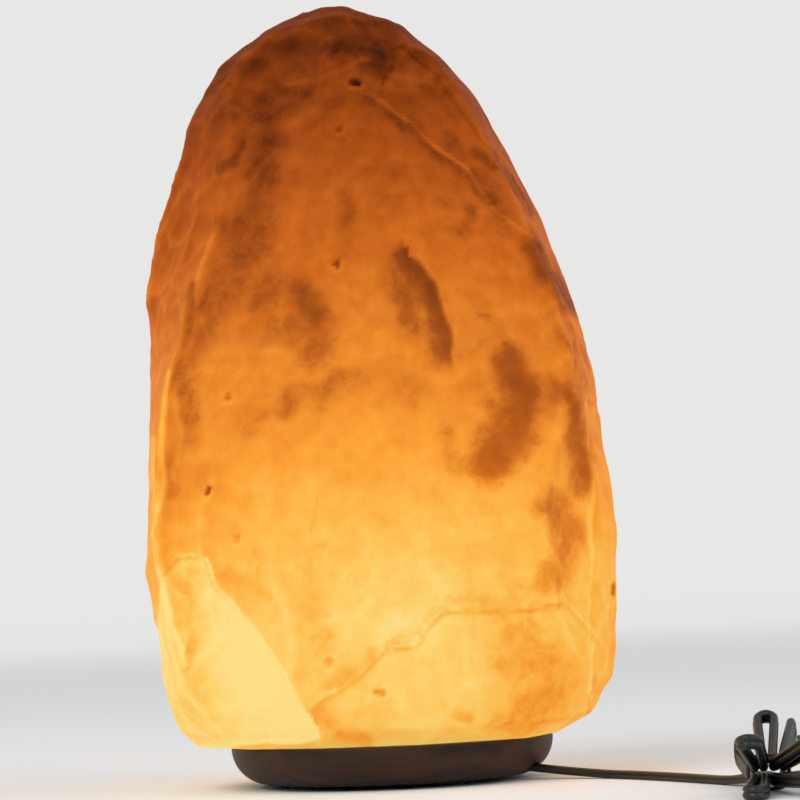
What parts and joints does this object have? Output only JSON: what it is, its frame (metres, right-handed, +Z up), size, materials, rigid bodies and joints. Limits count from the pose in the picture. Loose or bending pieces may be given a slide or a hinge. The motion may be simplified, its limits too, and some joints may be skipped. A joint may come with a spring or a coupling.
{
  "type": "salt crystal lamp",
  "caption": "Hewn rock salt block on a turned wood disc, lit from inside by a small bulb, with a flat cord tied in a hank, an in-line rocker switch and a flat mains plug.",
  "frame": {"origin": "on the floor, under the axis of the base disc", "axes": "+Z up along the base disc's axis, -Y towards the lamp's front, +X to the right seen from the front"},
  "size_m": [0.3642, 0.304, 0.3095],
  "materials": {
    "salt": "matte",
    "dark_wood": "satin",
    "felt": "matte",
    "steel": "satin",
    "spring_steel": "satin",
    "grey_plastic": "matte",
    "black_plastic": "satin",
    "rocker_plastic": "satin",
    "soft_plastic": "matte",
    "ceramic": "satin",
    "brass": "satin",
    "solder": "satin",
    "black_glass": "gloss",
    "nickel": "satin",
    "bulb_glass": "gloss",
    "stem_glass": "gloss",
    "filament": "satin",
    "cord": "satin",
    "tie": "matte"
  },
  "bodies": {
    "lamp": {"salt_crystal": "salt", "wood_base": "dark_wood", "base_pads": "felt", "base_screws": "steel", "screw_plugs": "grey_plastic", "cord_run": "cord", "cord_hank": "cord", "twist_tie": "tie", "cord_to_switch": "cord", "cord_to_plug": "cord", "switch_lower_shell": "black_plastic", "switch_upper_shell": "black_plastic", "switch_contacts": "brass", "switch_screws": "steel", "plug_body": "black_plastic", "plug_strain_relief": "soft_plastic", "plug_pins": "nickel", "pin_sleeves": "black_plastic"},
    "holder": {"holder_cap": "black_plastic", "holder_shell": "black_plastic", "cord_clamp": "black_plastic", "clamp_screws": "steel", "contact_block": "ceramic", "thread_shell": "brass", "centre_contact": "brass", "terminals": "brass", "terminal_screws": "steel", "spring_clip": "spring_steel", "clip_nut": "black_plastic", "cord_inner": "cord"},
    "bulb_carrier": {"bulb_tip": "solder"},
    "bulb": {"bulb_insulator": "black_glass", "bulb_cap": "nickel", "bulb_glass": "bulb_glass", "bulb_stem": "stem_glass", "lead_wires": "nickel", "filament": "filament"},
    "rocker": {"switch_rocker": "rocker_plastic"}
  },
  "joints": [
    {"name": "holder_slide", "type": "slide", "parent": "lamp", "child": "holder", "axis": [0, 0, 1], "range_m": [-0.09, 0]},
    {"name": "bulb_lift", "type": "slide", "parent": "holder", "child": "bulb_carrier", "axis": [0, 0, 1], "range_m": [0, 0.01199]},
    {"name": "bulb_turn", "type": "hinge", "parent": "bulb_carrier", "child": "bulb", "pos_m": [0, 0, 0.03], "axis": [0, 0, 1], "range_deg": [0, 1530]},
    {"name": "rocker_tip", "type": "hinge", "parent": "lamp", "child": "rocker", "pos_m": [0.192, 0, 0.01], "axis": [1, 0, 0], "range_deg": [0, 16]}
  ],
  "couplings": [
    {"joint": "bulb_turn", "follows": "bulb_lift", "rad_per_m": 2226.5}
  ]
}
